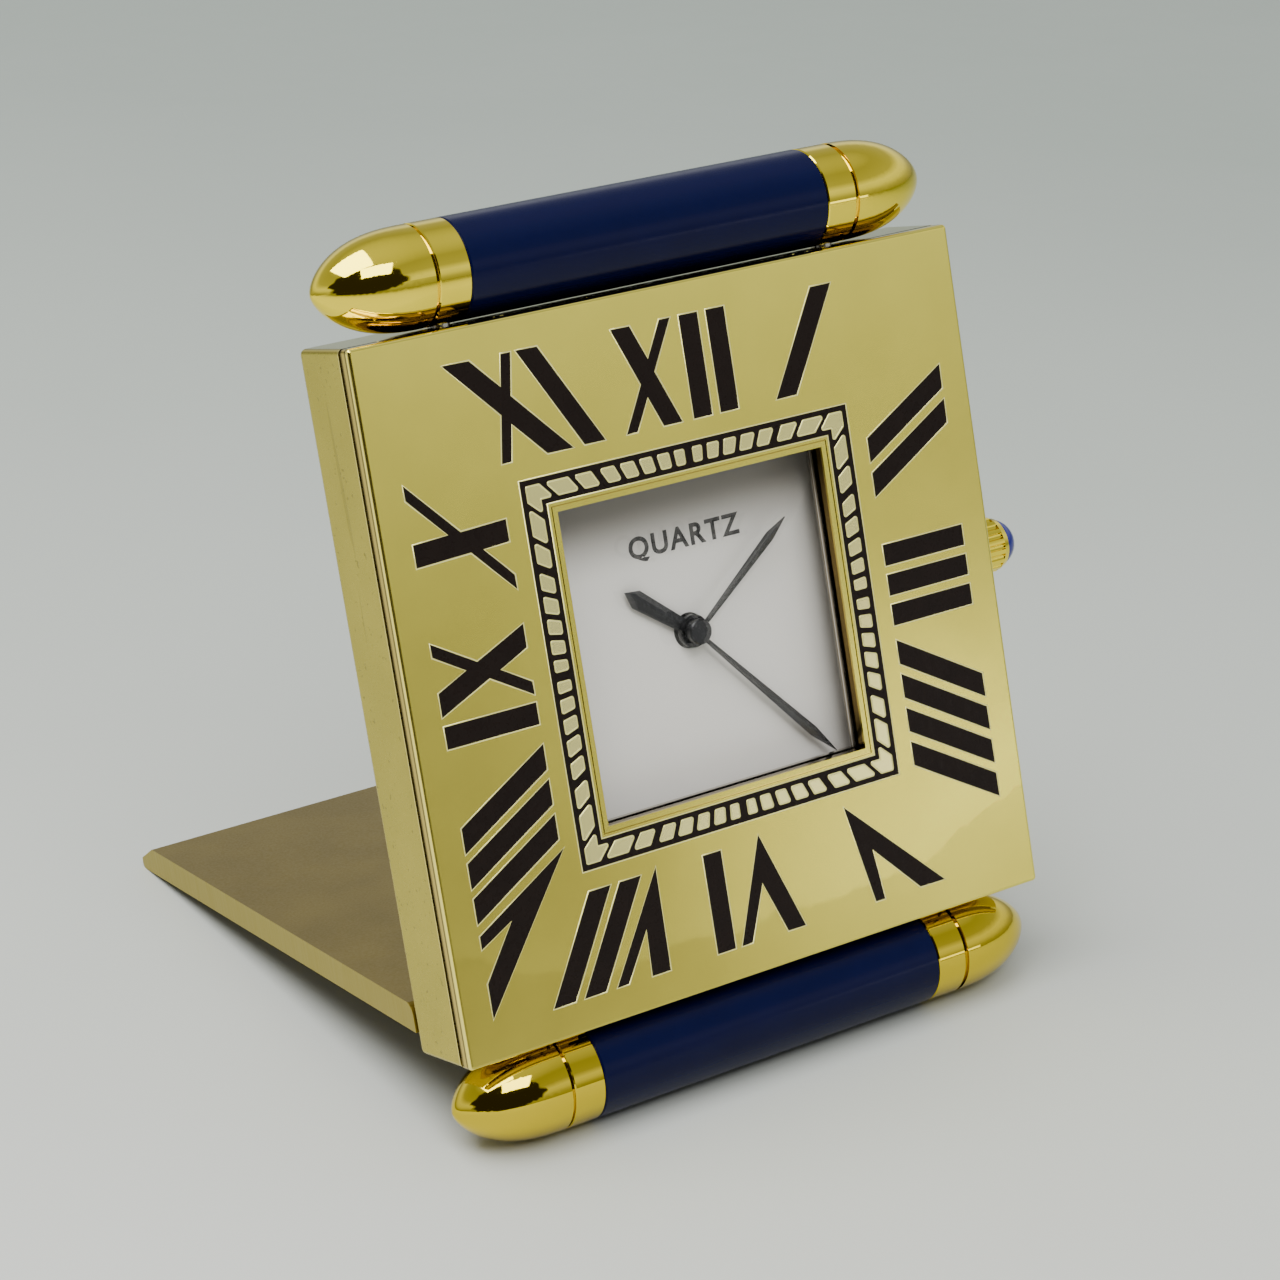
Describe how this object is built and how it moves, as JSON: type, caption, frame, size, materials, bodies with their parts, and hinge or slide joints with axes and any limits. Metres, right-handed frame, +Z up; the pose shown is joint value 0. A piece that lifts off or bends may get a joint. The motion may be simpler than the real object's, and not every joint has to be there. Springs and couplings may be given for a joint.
{
  "type": "travel alarm clock",
  "caption": "Square travel alarm clock in gilt brass with enamelled hour strokes, scroll rolls above and below, a side crown, three hands and a full-width hinged stand flap.",
  "frame": {"origin": "centre of the bounding box's footprint, on the table", "axes": "+Z up, +X to the right as the dial is read, -Y towards the reader; the case leans back 17.5 degrees on its lower roll and the open flap"},
  "size_m": [0.0724, 0.0686, 0.0802],
  "materials": {
    "gilt_plate": "satin gilt",
    "gilt_case": "satin gilt",
    "gilt_flap": "brushed gilt",
    "gold_polished": "mirror polished",
    "navy_lacquer": "gloss lacquer",
    "black_enamel": "gloss, slightly sunk",
    "crystal": "clear polished",
    "seal_rubber": "matt",
    "rehaut_steel": "polished",
    "dial_paint": "satin silver white",
    "black_steel": "blackened, faceted",
    "holder_plastic": "matt",
    "plate_steel": "satin",
    "wheel_brass": "satin",
    "steel": "fine ground",
    "stator_steel": "matt",
    "coil_copper": "enamelled wire",
    "board_green": "satin",
    "can_chrome": "polished",
    "navy_cabochon": "polished"
  },
  "bodies": {
    "case": {"front_plate": "gilt_plate", "hour_enamel": "black_enamel", "track_enamel": "black_enamel", "crystal": "crystal", "crystal_gasket": "seal_rubber", "rehaut": "rehaut_steel", "case_body": "gilt_case", "back_plate": "gilt_case", "back_screws": "steel", "plate_screws": "steel", "dial": "dial_paint", "dial_spacer": "holder_plastic", "movement_holder": "holder_plastic", "main_plate": "plate_steel", "train_bridge": "plate_steel", "bridge_screws": "steel", "stator": "stator_steel", "coil_core": "stator_steel", "drive_coil": "coil_copper", "circuit_board": "board_green", "resonator_can": "can_chrome", "button_cell": "steel", "cell_contacts": "wheel_brass", "hatch_seal": "seal_rubber", "sounder_disc": "wheel_brass", "crown_tube": "steel", "detent_spring": "steel", "hinge_lug_left": "gilt_case", "hinge_lug_right": "gilt_case", "upper_roll_barrel": "navy_lacquer", "upper_tie_rod": "steel", "upper_roll_screws": "steel", "upper_left_collar": "gold_polished", "upper_left_cap": "gold_polished", "upper_right_collar": "gold_polished", "upper_right_cap": "gold_polished", "lower_roll_barrel": "navy_lacquer", "lower_tie_rod": "steel", "lower_roll_screws": "steel", "lower_left_collar": "gold_polished", "lower_left_cap": "gold_polished", "lower_right_collar": "gold_polished", "lower_right_cap": "gold_polished"},
    "stand": {"stand_flap": "gilt_flap", "hinge_pins": "steel"},
    "minute_works": {"minute_hand": "black_steel", "centre_wheel": "wheel_brass"},
    "hour_works": {"hour_hand": "black_steel", "hour_wheel": "wheel_brass"},
    "alarm_works": {"alarm_hand": "black_steel", "alarm_arbor": "wheel_brass"},
    "minute_wheel_set": {"minute_wheel": "wheel_brass"},
    "intermediate_set": {"intermediate_wheel": "wheel_brass"},
    "rotor_set": {"rotor": "steel"},
    "time_set": {"time_set_wheel": "wheel_brass"},
    "alarm_switch": {"alarm_slider": "steel"},
    "crown_set": {"crown": "gold_polished", "crown_cabochon": "navy_cabochon", "crown_stem": "steel"},
    "hatch": {"battery_hatch": "gilt_case"}
  },
  "joints": [
    {"name": "stand_hinge", "type": "hinge", "parent": "case", "child": "stand", "pos_m": [-0.00343, -0.02092, 0.0105], "axis": [1, 0, 0], "range_deg": [0, 82]},
    {"name": "minute_turn", "type": "hinge", "parent": "case", "child": "minute_works", "pos_m": [-0.00343, -0.0226, 0.04145], "axis": [0, 0.9535, -0.3015], "continuous": true},
    {"name": "hour_turn", "type": "hinge", "parent": "case", "child": "hour_works", "pos_m": [-0.00343, -0.0226, 0.04145], "axis": [0, 0.9535, -0.3015], "continuous": true},
    {"name": "minute_wheel_turn", "type": "hinge", "parent": "case", "child": "minute_wheel_set", "pos_m": [-0.00767, -0.02388, 0.0374], "axis": [0, 0.9535, -0.3015], "continuous": true},
    {"name": "intermediate_turn", "type": "hinge", "parent": "case", "child": "intermediate_set", "pos_m": [-0.00767, -0.02132, 0.04549], "axis": [0, 0.9535, -0.3015], "continuous": true},
    {"name": "rotor_turn", "type": "hinge", "parent": "case", "child": "rotor_set", "pos_m": [-0.01064, -0.02042, 0.04832], "axis": [0, 0.9535, -0.3015], "continuous": true},
    {"name": "time_set_turn", "type": "hinge", "parent": "case", "child": "time_set", "pos_m": [-0.01191, -0.0161, 0.03049], "axis": [0, 0.9535, -0.3015], "continuous": true},
    {"name": "alarm_switch_slide", "type": "slide", "parent": "case", "child": "alarm_switch", "axis": [1, 0, 0], "range_m": [0, 0.001]},
    {"name": "crown_turn", "type": "hinge", "parent": "alarm_switch", "child": "crown_set", "pos_m": [0.02937, -0.01649, 0.03952], "axis": [1, 0, 0], "continuous": true},
    {"name": "alarm_turn", "type": "hinge", "parent": "case", "child": "alarm_works", "pos_m": [-0.00343, -0.0226, 0.04145], "axis": [0, 0.9535, -0.3015], "continuous": true},
    {"name": "hatch_turn", "type": "hinge", "parent": "case", "child": "hatch", "pos_m": [0.00907, -0.00977, 0.0505], "axis": [0, 0.9535, -0.3015], "range_deg": [0, 60]}
  ],
  "couplings": [
    {"joint": "hour_turn", "follows": "minute_turn", "ratio": 0.083333},
    {"joint": "minute_wheel_turn", "follows": "minute_turn", "ratio": -0.33333},
    {"joint": "intermediate_turn", "follows": "minute_turn", "ratio": -5},
    {"joint": "rotor_turn", "follows": "minute_turn", "ratio": 30},
    {"joint": "time_set_turn", "follows": "minute_turn", "ratio": 1},
    {"joint": "alarm_turn", "follows": "crown_turn", "ratio": -0.13333}
  ]
}
